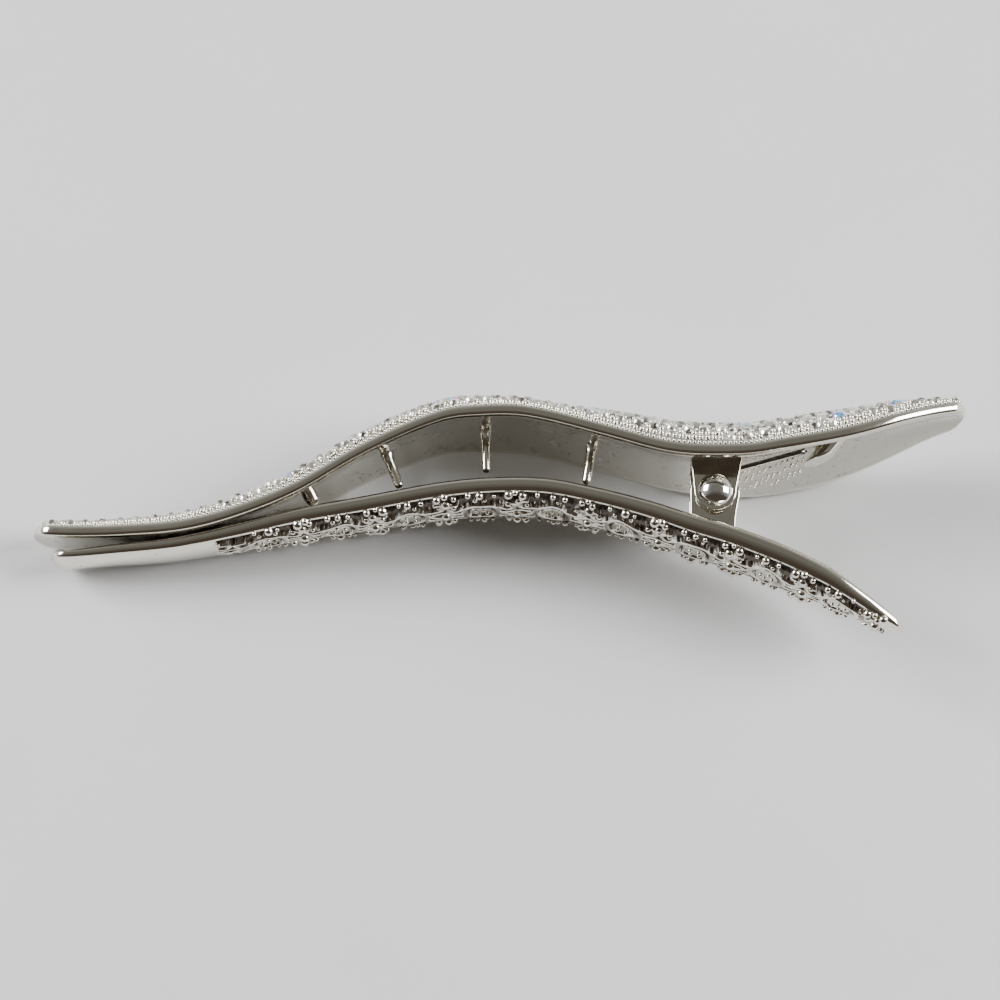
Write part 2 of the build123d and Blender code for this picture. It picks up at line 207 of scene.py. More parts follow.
# ---------------------------------------------------------------- shader helpers
def material(name, metallic=0.0, roughness=0.3, colour=(0.8, 0.8, 0.8), **plain):
    m = bpy.data.materials.new(name)
    m.use_nodes = True
    shader = m.node_tree.nodes["Principled BSDF"]
    shader.inputs["Metallic"].default_value = metallic
    shader.inputs["Roughness"].default_value = roughness
    shader.inputs["Base Color"].default_value = (*colour, 1)
    for socket, value in plain.items():
        shader.inputs[socket.replace("_", " ")].default_value = value
    return m


def node(tree, kind, **values):
    n = tree.nodes.new(kind)
    for key, value in values.items():
        if key in n.inputs:
            n.inputs[key].default_value = value
        else:
            setattr(n, key, value)
    return n


def new_group(name, inputs, outputs):
    g = bpy.data.node_groups.new(name, "ShaderNodeTree")
    for label, kind, value in inputs:
        s = g.interface.new_socket(label, in_out="INPUT", socket_type=kind)
        if value is not None:
            s.default_value = value
    for label, kind in outputs:
        g.interface.new_socket(label, in_out="OUTPUT", socket_type=kind)
    return g, g.nodes.new("NodeGroupInput"), g.nodes.new("NodeGroupOutput")


def plating_group():
    """Bright plating: slightly uneven colour and polish, fine scratches and casting pits."""
    g, source, result = new_group(
        "bright_plating",
        [
            ("Tint", "NodeSocketColor", (0.8, 0.79, 0.76, 1)),
            ("Dull Tint", "NodeSocketColor", (0.62, 0.6, 0.56, 1)),
            ("Grain Scale", "NodeSocketFloat", 900.0),
            ("Pit Scale", "NodeSocketFloat", 1100.0),
            ("Pit Amount", "NodeSocketFloat", 0.3),
            ("Smooth Roughness", "NodeSocketFloat", 0.06),
            ("Rough Roughness", "NodeSocketFloat", 0.2),
        ],
        [("Color", "NodeSocketColor"), ("Roughness", "NodeSocketFloat"), ("Height", "NodeSocketFloat")],
    )
    link = g.links.new
    where = node(g, "ShaderNodeTexCoord")
    cloud = node(g, "ShaderNodeTexNoise", Detail=4.0)
    link(where.outputs["Object"], cloud.inputs["Vector"])
    cloud.inputs["Scale"].default_value = 260.0
    grain = node(g, "ShaderNodeTexNoise", Detail=5.0)
    link(where.outputs["Object"], grain.inputs["Vector"])
    link(source.outputs["Grain Scale"], grain.inputs["Scale"])
    pits = node(g, "ShaderNodeTexVoronoi")
    link(where.outputs["Object"], pits.inputs["Vector"])
    link(source.outputs["Pit Scale"], pits.inputs["Scale"])
    pit_shape = node(g, "ShaderNodeMapRange")
    link(pits.outputs["Distance"], pit_shape.inputs["Value"])
    pit_shape.inputs["From Min"].default_value = 0.0
    pit_shape.inputs["From Max"].default_value = 0.32
    pit_shape.inputs["To Min"].default_value = 0.0
    pit_shape.inputs["To Max"].default_value = 1.0
    patch = node(g, "ShaderNodeMapRange")
    link(cloud.outputs["Fac"], patch.inputs["Value"])
    patch.inputs["From Min"].default_value = 0.45
    patch.inputs["From Max"].default_value = 0.62
    amount = node(g, "ShaderNodeMath", operation="MULTIPLY")
    link(patch.outputs["Result"], amount.inputs[0])
    link(source.outputs["Pit Amount"], amount.inputs[1])
    one_less = node(g, "ShaderNodeMath", operation="SUBTRACT")
    one_less.inputs[0].default_value = 1.0
    link(pit_shape.outputs["Result"], one_less.inputs[1])
    sunk = node(g, "ShaderNodeMath", operation="MULTIPLY")
    link(one_less.outputs[0], sunk.inputs[0])
    link(amount.outputs[0], sunk.inputs[1])
    blend = node(g, "ShaderNodeMix", data_type="RGBA")
    link(sunk.outputs[0], blend.inputs["Factor"])
    link(source.outputs["Tint"], blend.inputs[6])
    link(source.outputs["Dull Tint"], blend.inputs[7])
    link(blend.outputs[2], result.inputs["Color"])
    rough = node(g, "ShaderNodeMapRange")
    link(cloud.outputs["Fac"], rough.inputs["Value"])
    rough.inputs["From Min"].default_value = 0.35
    rough.inputs["From Max"].default_value = 0.65
    link(source.outputs["Smooth Roughness"], rough.inputs["To Min"])
    link(source.outputs["Rough Roughness"], rough.inputs["To Max"])
    link(rough.outputs["Result"], result.inputs["Roughness"])
    fine = node(g, "ShaderNodeMath", operation="MULTIPLY")
    link(grain.outputs["Fac"], fine.inputs[0])
    fine.inputs[1].default_value = 0.35
    height = node(g, "ShaderNodeMath", operation="SUBTRACT")
    link(fine.outputs[0], height.inputs[0])
    link(sunk.outputs[0], height.inputs[1])
    link(height.outputs[0], result.inputs["Height"])
    return g


def plated(name, group, tint, dull, bump, pit_amount, smooth_rough, rough_rough,
           pit_scale=1100.0, grain_scale=900.0):
    """A metal finish made from the plating group with its own tints, pits and polish."""
    m = material(name, metallic=1.0)
    tree = m.node_tree
    use = tree.nodes.new("ShaderNodeGroup")
    use.node_tree = group
    use.inputs["Tint"].default_value = (*tint, 1)
    use.inputs["Dull Tint"].default_value = (*dull, 1)
    use.inputs["Pit Amount"].default_value = pit_amount
    use.inputs["Pit Scale"].default_value = pit_scale
    use.inputs["Grain Scale"].default_value = grain_scale
    use.inputs["Smooth Roughness"].default_value = smooth_rough
    use.inputs["Rough Roughness"].default_value = rough_rough
    shader = tree.nodes["Principled BSDF"]
    tree.links.new(use.outputs["Color"], shader.inputs["Base Color"])
    tree.links.new(use.outputs["Roughness"], shader.inputs["Roughness"])
    b = node(tree, "ShaderNodeBump", Strength=bump, Distance=0.0001)
    tree.links.new(use.outputs["Height"], b.inputs["Height"])
    tree.links.new(b.outputs["Normal"], shader.inputs["Normal"])
    return m


# Colours painted into fixed cells of the coated stones: painted coloured glints in place of the play of
# colour their coating shows in light.
PAINTED_IRIDESCENT_GLINTS = (
    (0.25, (0.15, 0.2, 0.95)),
    (0.42, (0.95, 0.95, 0.95)),
    (0.6, (0.2, 0.65, 0.9)),
    (0.72, (0.95, 0.6, 0.2)),
    (0.85, (0.7, 0.75, 1.0)),
)


def stone_material(name, low, high, scale, metallic=0.85, iridescent=False):
    """Foil-backed cut glass with a glassy coat: small cells painted from near black to near white, painted
    shade and painted glints in place of light caught by the facets.
    """
    m = material(name, metallic=metallic, roughness=0.05)
    tree = m.node_tree
    shader = tree.nodes["Principled BSDF"]
    where = node(tree, "ShaderNodeTexCoord")
    cells = node(tree, "ShaderNodeTexVoronoi", Scale=scale)
    tree.links.new(where.outputs["Object"], cells.inputs["Vector"])
    ramp = tree.nodes.new("ShaderNodeValToRGB")
    stops = ramp.color_ramp.elements
    stops[0].color = (*low, 1)
    stops[1].color = (*high, 1)
    if iridescent:
        for place, colour in PAINTED_IRIDESCENT_GLINTS:
            stop = stops.new(place)
            stop.color = (*colour, 1)
    bright = node(tree, "ShaderNodeSeparateColor")
    tree.links.new(cells.outputs["Color"], bright.inputs["Color"])
    tree.links.new(bright.outputs[0], ramp.inputs["Fac"])
    tree.links.new(ramp.outputs["Color"], shader.inputs["Base Color"])
    haze = node(tree, "ShaderNodeMapRange")
    tree.links.new(bright.outputs[1], haze.inputs["Value"])
    haze.inputs["To Min"].default_value = 0.02
    haze.inputs["To Max"].default_value = 0.12
    tree.links.new(haze.outputs["Result"], shader.inputs["Roughness"])
    shader.inputs["Coat Weight"].default_value = 1.0
    shader.inputs["Coat Roughness"].default_value = 0.02
    return m


plating = plating_group()
rim_polish = plated("rim_polish", plating, (0.76, 0.725, 0.64), (0.5, 0.48, 0.42), 0.06, 0.08, 0.06, 0.14)
inner_cast = plated("inner_casting", plating, (0.60, 0.58, 0.52), (0.22, 0.2, 0.17), 0.9, 0.9, 0.12, 0.3)
# Stone bed tinted darker than the polished metal: painted shade on the bed between the stones.
stone_bed_painted_shade = plated("stone_bed_painted_shade", plating, (0.5, 0.49, 0.45), (0.16, 0.15, 0.14), 0.5, 0.6, 0.14, 0.3)
ornament_cast = plated("ornament_casting", plating, (0.80, 0.77, 0.69), (0.22, 0.19, 0.15),
                       1.0, 0.9, 0.05, 0.16, pit_scale=900.0, grain_scale=1500.0)
milgrain_metal = plated("milgrain_metal", plating, (0.6, 0.58, 0.52), (0.25, 0.23, 0.2), 0.3, 0.5, 0.1, 0.22)
# Near-black finish for the deep ground and windows of the lower jaw's ornament: painted shade standing in for
# the shade in its recesses.
recess_painted_shade = plated("recess_painted_shade", plating, (0.12, 0.10, 0.085), (0.04, 0.035, 0.03), 0.5, 0.7, 0.25, 0.45)
rivet_polish = plated("rivet_polish", plating, (0.80, 0.79, 0.76), (0.6, 0.58, 0.55), 0.02, 0.02, 0.04, 0.08)
# Spring wire tinted dark grey: a painted dark reflection and painted shade for the wire lying under the tail.
wire_painted_shade = plated("spring_wire_painted_shade", plating, (0.3, 0.29, 0.27), (0.2, 0.19, 0.18), 0.15, 0.1, 0.14, 0.26)
# Both glass finishes carry painted glints and painted shade in their cells.
clear_glass = stone_material("clear_cut_glass", (0.07, 0.06, 0.045), (1.0, 0.98, 0.9), 1700.0, 0.6)
colour_glass = stone_material("iridescent_cut_glass", (0.1, 0.12, 0.3), (0.98, 0.95, 0.9), 1700.0, 0.6, True)


# ---------------------------------------------------------------- jaw castings
OUTER_FACE, POLISHED_RIM, INSIDE, SHADED_GROUND = range(4)
DEEP_GROUND = -0.3
LAND_WIDTH = 1.25
EDGE_ROUND = 0.35
LAND_HOLLOW = 0.06
EDGE_CROWDING = 0.35


def jaw_shell(jaw, stations, outer_count, inner_count, relief):
    """The casting as rows of closed cross-sections, with relief(x, z) on its outer face.

    Faces are sorted into outer face, polished rim, inside and deep ground of the relief, the deep ground
    taking a near-black painted shade.
    """
    side_steps, foot_steps = 7, 4
    rim, width, band, crest, hollow = measures(jaw, stations)
    outward = jaw["outward"]
    edge = np.minimum(EDGE_ROUND, 0.2 * width)
    land = np.minimum(LAND_WIDTH, 0.45 * width)
    columns = []
    kinds = []
    depths = []
    for k in range(outer_count):
        crowded = -math.cos(math.pi * k / (outer_count - 1))
        even = 2 * k / (outer_count - 1) - 1
        t = crowded * EDGE_CROWDING + even * (1 - EDGE_CROWDING)
        z = width * t
        depth = relief(stations, z, width)
        columns.append((z, band + arc_rise(width, crest, z) + depth))
        depths.append(depth)
        kinds.append(OUTER_FACE)
    for k in range(1, side_steps):
        a = math.pi / 2 * k / side_steps
        z = width - edge * (1 - math.cos(a)) + jaw["bulge"] * band * math.sin(2 * a)
        columns.append((z, band * (1 - math.sin(a))))
        kinds.append(POLISHED_RIM)
    for k in range(foot_steps):
        t = k / foot_steps
        z = width - edge - t * (land - edge)
        columns.append((z, -LAND_HOLLOW * band * math.sin(math.pi * t)))
        kinds.append(POLISHED_RIM)
    inner_width = width - land
    for k in range(inner_count):
        t = 1 - 2 * k / (inner_count - 1)
        z = inner_width * t
        columns.append((z, arc_rise(inner_width, hollow, z)))
        kinds.append(INSIDE)
    for k in reversed(range(foot_steps)):
        t = k / foot_steps
        z = -(width - edge - t * (land - edge))
        columns.append((z, -LAND_HOLLOW * band * math.sin(math.pi * t)))
        kinds.append(POLISHED_RIM)
    for k in reversed(range(1, side_steps)):
        a = math.pi / 2 * k / side_steps
        z = -(width - edge * (1 - math.cos(a)) + jaw["bulge"] * band * math.sin(2 * a))
        columns.append((z, band * (1 - math.sin(a))))
        kinds.append(POLISHED_RIM)
    count = len(columns)
    grid = np.zeros((len(stations), count, 3))
    for c, (z, rise) in enumerate(columns):
        grid[:, c, 0] = stations
        grid[:, c, 1] = rim + outward * rise
        grid[:, c, 2] = z
    faces = grid_faces(len(stations), count)
    which = []
    for r in range(len(stations) - 1):
        for c in range(count):
            n = (c + 1) % count
            kind = kinds[c] if kinds[c] == kinds[n] else POLISHED_RIM
            if kind == OUTER_FACE and (c < 2 or c > outer_count - 4):
                kind = POLISHED_RIM
            # Faces sunk deep into the relief take the near-black painted shade.
            if kind == OUTER_FACE and depths[c][r] + depths[n][r + 1] < 2 * DEEP_GROUND:
                kind = SHADED_GROUND
            which.append(kind)
    points = grid.reshape(-1, 3)
    centre_first = points[:count].mean(0)
    centre_last = points[-count:].mean(0)
    points = np.vstack([points, centre_first, centre_last])
    a, b = len(points) - 2, len(points) - 1
    base = (len(stations) - 1) * count
    for c in range(count):
        n = (c + 1) % count
        faces.append((a, n, c))
        which.append(POLISHED_RIM)
        faces.append((b, base + c, base + n))
        which.append(POLISHED_RIM)
    return points, faces, which


def fine_stations(jaw, pitch):
    first, final = jaw["ends"]
    nose = np.array([0.004, 0.03, 0.09, 0.18, 0.3, 0.45, 0.65, 0.9, 1.2, 1.55, 1.95])
    body = np.arange(first + 2.4, final - 2.3, pitch)
    return np.concatenate([first + nose, body, (final - nose)[::-1]])


def groove_relief(x, z, width):
    """The stone bed lies a little below the polished band."""
    inside = np.clip((width - 0.75 - np.abs(z)) / 0.25, 0, 1)
    return -0.14 * inside


def upper_jaw():
    stations = fine_stations(UPPER, 0.6)
    points, faces, which = jaw_shell(UPPER, stations, 65, 41, groove_relief)
    finishes = [stone_bed_painted_shade, rim_polish, inner_cast]
    shell = make_object("upper_jaw_casting", points, faces, finishes, "upper", which)
    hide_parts("upper_jaw")
    return shell


# Ornament of the lower jaw: one motif repeats along it, with an oval frame in its middle.
# Inside a motif, u runs along the jaw and v outwards, ORNAMENT_REACH being the jaw's edge.
MOTIF_START = -55.0
MOTIF_END = 15.0
MOTIF_COUNT = 9
MOTIF_PITCH = (MOTIF_END - MOTIF_START) / (MOTIF_COUNT - 1)
RELIEF_FROM = -61.5
RELIEF_TO = 20.0
BEADS_TO = RELIEF_TO + 0.4
ORNAMENT_REACH = 5.6
RIB_RADIUS = 0.33
CUSHION = 0.68
PLAIN_TIP_STATIONS = 40


def rib(distance, radius):
    """Height of a half-round rib at this distance from its middle line."""
    return np.sqrt(np.maximum(radius ** 2 - distance ** 2, 0))


def line_distance(x, z, points):
    """Distance of every x, z from the broken line through the points."""
    best = np.full(np.shape(x + z), 1e3)
    for (x0, z0), (x1, z1) in zip(points[:-1], points[1:]):
        dx, dz = x1 - x0, z1 - z0
        t = np.clip(((x - x0) * dx + (z - z0) * dz) / (dx * dx + dz * dz), 0, 1)
        best = np.minimum(best, np.hypot(x - x0 - t * dx, z - z0 - t * dz))
    return best


def curl(x0, z0, radius, turns, start, shrink):
    """A scroll that winds inwards from its outer end."""
    steps = 14
    points = []
    for k in range(steps + 1):
        t = k / steps
        a = start + 2 * math.pi * turns * t
        r = radius * (1 - shrink * t)
        points.append((x0 + r * math.cos(a), z0 + r * math.sin(a)))
    return points


SCROLLS = [
    curl(3.2, 2.3, 1.25, 0.7, -2.6, 0.5),
    curl(-3.2, 2.3, 1.25, -0.7, -0.54, 0.5),
    [(-4.37, 0.9), (-3.3, 0.4), (-2.4, 0.0)],
    [(4.37, 0.9), (3.3, 0.4), (2.4, 0.0)],
]
WINDOWS = [(0.0, 3.9), (4.37, 2.6), (-4.37, 2.6), (2.3, 4.2), (-2.3, 4.2)]


def ornament_relief(x, z, width):
    """Cast relief: oval frames with a sunk cushion, scrolls and deep windows."""
    x = np.asarray(x, float)
    u = (x - MOTIF_START + MOTIF_PITCH / 2) % MOTIF_PITCH - MOTIF_PITCH / 2
    v = np.abs(z) * ORNAMENT_REACH / width
    drift = 0.25 * np.sin(1.7 * x) + 0.2 * np.sin(0.63 * x + 1.0)
    v = v + drift
    oval = np.hypot(u / 2.15, v / 2.5)
    height = 0.95 * rib((oval - 1) * 2.2, RIB_RADIUS)
    cushion = 0.12 * np.sqrt(np.maximum(1 - (oval / CUSHION) ** 2, 0))
    height = np.maximum(height, np.where(oval < CUSHION, cushion, 0))
    for scroll in SCROLLS:
        height = np.maximum(height, rib(line_distance(u, v, scroll), RIB_RADIUS))
    ground = -0.6 - 0.12 * np.sin(9.0 * x) * np.sin(7.0 * z)
    body = np.where(height > 0.03, height - 0.15, ground)
    for place in WINDOWS:
        hole = np.hypot((u - place[0]) / 1.2, (v - place[1]) / 0.9)
        body = np.where((hole < 1) & (height < 0.05), -1.15, body)
    inside = np.clip((width - 0.3 - np.abs(z)) / 0.2, 0, 1)
    along = np.clip((x - RELIEF_FROM) / 1.2, 0, 1) * np.clip((RELIEF_TO - x) / 1.2, 0, 1)
    return body * inside * along


def lower_jaw():
    tip = fine_stations(LOWER, 0.5)[:PLAIN_TIP_STATIONS]
    ornamented = np.arange(-62.5, 20.6, 0.13)
    tail_end = LOWER["ends"][1] - np.array([1.9, 1.5, 1.1, 0.8, 0.55, 0.35, 0.2, 0.1, 0.03, 0.004])
    stations = np.unique(np.round(np.concatenate([tip, ornamented, tail_end]), 4))
    points, faces, which = jaw_shell(LOWER, stations, 121, 33, ornament_relief)
    finishes = [ornament_cast, rim_polish, inner_cast, recess_painted_shade]
    shell = make_object("lower_jaw_casting", points, faces, finishes, "lower", which)
    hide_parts("lower_jaw")
    return shell


# ---------------------------------------------------------------- hinge ears
UPPER_EAR = (3.0, 4.0)
LOWER_EAR = (1.94, 2.94)


def rounded_plate(name, outline, low, high, body, finish, edge=0.16):
    """A flat plate from a closed outline, with softened edges."""
    outline = np.array(outline, float)
    count = len(outline)
    centre = outline.mean(0)
    inward = outline - centre
    inward /= np.linalg.norm(inward, axis=1)[:, None]
    levels = []
    for k in range(5):
        a = math.pi / 2 * k / 4
        levels.append((edge * (1 - math.sin(a)), low + edge * (1 - math.cos(a))))
    for k in range(5):
        a = math.pi / 2 * k / 4
        levels.append((edge * (1 - math.cos(a)), high - edge * (1 - math.sin(a))))
    points = []
    for inset, z in levels:
        for p, d in zip(outline, inward):
            q = p - d * inset
            points.append((q[0], q[1], z))
    faces = grid_faces(len(levels), count)
    faces.append(tuple(range(count)))
    faces.append(tuple((len(levels) - 1) * count + i for i in reversed(range(count))))
    piece = make_object(name, points, faces, [finish], body, crease=35)
    return piece


def upper_ear_outline():
    points = []
    for k in range(33):
        a = math.pi + math.pi * k / 32
        points.append((2.6 * math.cos(a), 2.6 * math.sin(a)))
    points += [(2.78, 1.0), (3.15, 3.0), (3.7, 6.0), (3.75, 6.6)]
    points += [(-3.15, 6.6), (-3.1, 6.0), (-2.85, 3.0), (-2.68, 1.0)]
    return points


def lower_ear_outline():
    points = []
    for k in range(33):
        a = -0.12 + (math.pi + 0.24) * k / 32
        points.append((3.05 * math.cos(a), 3.05 * math.sin(a)))
    points += [(-3.0, -2.4), (-2.95, -4.4), (-3.1, -6.2), (2.5, -6.9), (2.3, -5.2), (2.6, -2.6)]
    return points


def ears():
    for side, name in ((1, "near"), (-1, "far")):
        low, high = sorted(side * z for z in UPPER_EAR)
        rounded_plate(f"upper_ear_{name}", upper_ear_outline(), low, high, "upper", rim_polish)
        low, high = sorted(side * z for z in LOWER_EAR)
        rounded_plate(f"lower_ear_{name}", lower_ear_outline(), low, high, "lower", rim_polish)


def lathe(profile, turns=48):
    """Points and faces of a turned shape, profile as (radius, height) from foot to tip."""
    points = []
    for r, h in profile:
        for k in range(turns):
            a = 2 * math.pi * k / turns
            points.append((r * math.cos(a), r * math.sin(a), h))
    faces = grid_faces(len(profile), turns) + end_caps(len(profile), turns)
    return points, faces


def turned(name, profile, foot, direction, body, finish, turns=48):
    """A turned piece standing at foot along direction, both upright."""
    points, faces = lathe(profile, turns)
    turn = Vector((0, 0, 1)).rotation_difference(Vector(direction).normalized()).to_matrix()
    placed = [tuple(turn @ Vector(p) + Vector(foot)) for p in points]
    piece = make_object(name, placed, faces, [finish], body, crease=50)
    return piece


def dome_profile(foot, rise, steps=26):
    """A low dome of this foot radius and rise, with a small chamfer under it."""
    chamfer = 0.05
    ball = (foot ** 2 + rise ** 2) / (2 * rise)
    profile = [(foot * 0.96, 0.0), (foot, chamfer)]
    for k in range(1, steps):
        h = rise * k / steps
        r = math.sqrt(max(ball ** 2 - (h + ball - rise) ** 2, 0))
        profile.append((min(r, foot), chamfer + h * 0.96))
    profile.append((0.03, chamfer + rise * 0.96))
    return profile


def hinge_rivet():
    outside = UPPER_EAR[1]
    for side, name in ((1, "near"), (-1, "far")):
        head = turned(f"rivet_head_{name}", dome_profile(2.1, 1.2), (0, 0, side * outside), (0, 0, side),
                      "upper", rivet_polish, 96)
        if side == 1:
            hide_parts("hinge_rivet")
    turned("rivet_shank", [(1.1, 0), (1.1, 2 * outside)], (0, 0, -outside), (0, 0, 1),
           "upper", rivet_polish)


def pin(name, foot, end, foot_radius, radius, flare):
    """A round pin that widens to foot_radius over its first flare and has a rounded tip."""
    foot, end = Vector((*foot, 0)), Vector((*end, 0))
    length = (end - foot).length
    profile = []
    for k in range(9):
        t = k / 8
        profile.append((radius + (foot_radius - radius) * (1 - t) ** 2.2, flare * t))
    neck = length - 0.3 * radius
    profile.append((radius * 0.97, neck))
    for k in range(1, 7):
        a = math.pi / 2 * k / 6
        profile.append((max(radius * 0.97 * math.cos(a), 0.02), neck + radius * 0.8 * math.sin(a)))
    turned(name, profile, foot, end - foot, "upper", rim_polish, 28)


def pins():
    pin("holding_pin_front", (-40.9, 6.6), (-39.0, 1.75), 1.5, 0.62, 2.3)
    pin("holding_pin_middle", (-28.4, 9.9), (-28.2, 3.75), 1.6, 0.62, 2.5)
    pin("holding_pin_rear", (-15.0, 7.9), (-15.8, 2.2), 1.5, 0.62, 2.3)
    pin("holding_stub", (-50.6, 1.6), (-49.6, -0.3), 1.6, 0.95, 1.1)


def spring_keeper():
    """The leaning round boss on the tail that traps the end of the spring leg."""
    foot, end = Vector((15.2, 7.9, 0)), Vector((12.75, 4.8, 0))
    tilt = math.radians(14)
    across = Vector((math.cos(tilt), math.sin(tilt), 0))
    turns = 48
    points = []
    profile = [(0.0, 2.1), (0.3, 1.95), (0.8, 1.95)]
    profile += [(0.8 + 0.2 * math.sin(a), 1.55 + 0.4 * math.cos(a)) for a in np.linspace(0.2, math.pi / 2, 6)]
    for share, radius in profile:
        middle = foot + share * (end - foot)
        for k in range(turns):
            a = 2 * math.pi * k / turns
            points.append(middle + radius * (math.cos(a) * across + math.sin(a) * Vector((0, 0, 1))))
    faces = grid_faces(len(profile), turns) + end_caps(len(profile), turns)
    piece = make_object("spring_keeper", points, faces, [rim_polish], "upper", crease=50)


# ---------------------------------------------------------------- torsion spring
def tangent_start(end, side, radius):
    """Where a straight leg that ends here leaves the coil."""
    distance = math.hypot(*end)
    direction = math.atan2(end[1], end[0]) - side * math.asin(radius / distance)
    return -side * radius * math.sin(direction), side * radius * math.cos(direction)


def between(start, end, share):
    return start[0] + share * (end[0] - start[0]), start[1] + share * (end[1] - start[1])


def torsion_spring():
    """A close coil round the rivet with one straight leg along each tail."""
    coil_radius, wire, half, turns = 2.45, 0.36, 1.5, 3
    upper_end, lower_end = (11.2, 5.75), (9.5, -8.75)
    upper_start = tangent_start(upper_end, 1, coil_radius)
    lower_start = tangent_start(lower_end, -1, coil_radius)
    a0 = math.atan2(lower_start[1], lower_start[0])
    a1 = math.atan2(upper_start[1], upper_start[0]) + 2 * math.pi * turns
    path = []
    for k in range(20):
        x, y = between(lower_end, lower_start, k / 20)
        path.append((x, y, -half))
    for k in range(181):
        t = k / 180
        a = a0 + t * (a1 - a0)
        path.append((coil_radius * math.cos(a), coil_radius * math.sin(a), -half + 2 * half * t))
    for k in range(1, 21):
        x, y = between(upper_start, upper_end, k / 20)
        path.append((x, y, half))
    points, faces = tube(path, wire, 14)
    piece = make_object("torsion_spring_wire", points, faces, [wire_painted_shade], None)
    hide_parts("torsion_spring")
    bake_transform(piece)


def tube(path, radius, sides):
    """A round tube along a line of points, closed at both ends."""
    path = [Vector(p) for p in path]
    points = []
    up = Vector((0, 0, 1))
    for i, p in enumerate(path):
        ahead = path[min(i + 1, len(path) - 1)] - path[max(i - 1, 0)]
        ahead.normalize()
        side = ahead.cross(up)
        if side.length < 1e-4:
            side = ahead.cross(Vector((1, 0, 0)))
        side.normalize()
        over = side.cross(ahead).normalized()
        for k in range(sides):
            a = 2 * math.pi * k / sides
            points.append(tuple(p + radius * (math.cos(a) * side + math.sin(a) * over)))
    faces = grid_faces(len(path), sides) + end_caps(len(path), sides)
    return points, faces


# ---------------------------------------------------------------- rhinestones
STONE_LARGE, STONE_SMALL = 0.92, 0.68
ROW_PITCH, STONE_PITCH, RIM_MARGIN = 2.02, 2.06, 0.95
FIRST_STONE, LAST_STONE = -82.6, 30.2


def stone_places():
    places = []
    rows = int(max(w for _, w in UPPER["half_width"]) / ROW_PITCH)
    for row in range(-rows, rows + 1):
        x = FIRST_STONE + (0.5 * STONE_PITCH if row % 2 else 0)
        while x < LAST_STONE:
            width = float(measures(UPPER, x)[1]) - RIM_MARGIN
            share = abs(row) * ROW_PITCH
            if share <= width:
                outermost = share + ROW_PITCH > width
                places.append((x, row * ROW_PITCH, STONE_SMALL if outermost else STONE_LARGE))
            x += STONE_PITCH
    return places


def cut_stone(radius, height):
    """A brilliant-cut chaton: table, stars, kites and lower facets over a girdle."""
    points = []
    for k in range(8):
        a = math.pi / 4 * k
        points.append((0.56 * radius * math.cos(a), 0.56 * radius * math.sin(a), height))
    for k in range(8):
        a = math.pi / 4 * (k + 0.5)
        points.append((0.8 * radius * math.cos(a), 0.8 * radius * math.sin(a), 0.72 * height))
    for k in range(16):
        a = math.pi / 8 * k
        points.append((radius * math.cos(a), radius * math.sin(a), 0.36 * height))
    for k in range(16):
        a = math.pi / 8 * k
        points.append((0.97 * radius * math.cos(a), 0.97 * radius * math.sin(a), 0))
    faces = [tuple(range(8))]
    for k in range(8):
        n = (k + 1) % 8
        faces.append((n, k, 8 + k))
        faces.append((k, 8 + (k - 1) % 8, 16 + 2 * k, 8 + k))
        g0, g1, g2 = 16 + 2 * k, 16 + 2 * k + 1, 16 + (2 * k + 2) % 16
        faces.append((8 + k, g0, g1))
        faces.append((8 + k, g1, g2))
    for k in range(16):
        n = (k + 1) % 16
        faces.append((16 + k, 32 + k, 32 + n, 16 + n))
    faces.append(tuple(reversed(range(32, 48))))
    return points, faces


def rhinestones():
    kinds = {"crest_stones": [], "field_stones": [], "border_stones": [], "iridescent_stones": []}
    for count, (x, z, size) in enumerate(stone_places()):
        if count % 9 == 4 and size == STONE_LARGE:
            kinds["iridescent_stones"].append((x, z, size, count))
        elif size == STONE_SMALL:
            kinds["border_stones"].append((x, z, size, count))
        elif z == 0:
            kinds["crest_stones"].append((x, z, size, count))
        else:
            kinds["field_stones"].append((x, z, size, count))
    for name, places in kinds.items():
        points, faces = [], []
        for x, z, size, count in places:
            wobble = math.sin(count * 12.9898) * 43758.5453
            wobble -= math.floor(wobble)
            own, own_faces = cut_stone(size * 1.06, 0.78)
            foot, normal, along = outer_point(UPPER, x, z, -0.34)
            side = normal.cross(along).normalized()
            turn = Matrix.Rotation(wobble * 0.8, 3, normal)
            along, side = turn @ along, turn @ side
            lean = 0.22 * (wobble - 0.5)
            base = len(points)
            for p in own:
                q = foot + along * p[0] + side * p[1] + normal * (p[2] + lean * p[0])
                points.append(tuple(q))
            faces += [tuple(base + i for i in f) for f in own_faces]
        glass = colour_glass if name == "iridescent_stones" else clear_glass
        piece = make_object(name + "_cut", points, faces, [glass], "upper", smooth_shade=False)
        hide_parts(name)


def small_ball(radius, rings=5, turns=10):
    profile = []
    for k in range(rings + 1):
        a = -math.pi / 2 + math.pi * k / rings
        profile.append((max(radius * math.cos(a), 0.01), radius * math.sin(a)))
    return lathe(profile, turns)


def beads(name, jaw, places, body, finish, turns=10):
    points, faces = [], []
    for x, z, radius, lift in places:
        own, own_faces = small_ball(radius, max(turns // 2, 5), turns)
        foot, _, _ = outer_point(jaw, x, z, lift)
        base = len(points)
        points += [tuple(foot + Vector(p)) for p in own]
        faces += [tuple(base + i for i in f) for f in own_faces]
    piece = make_object(name, points, faces, [finish], body)
    return piece


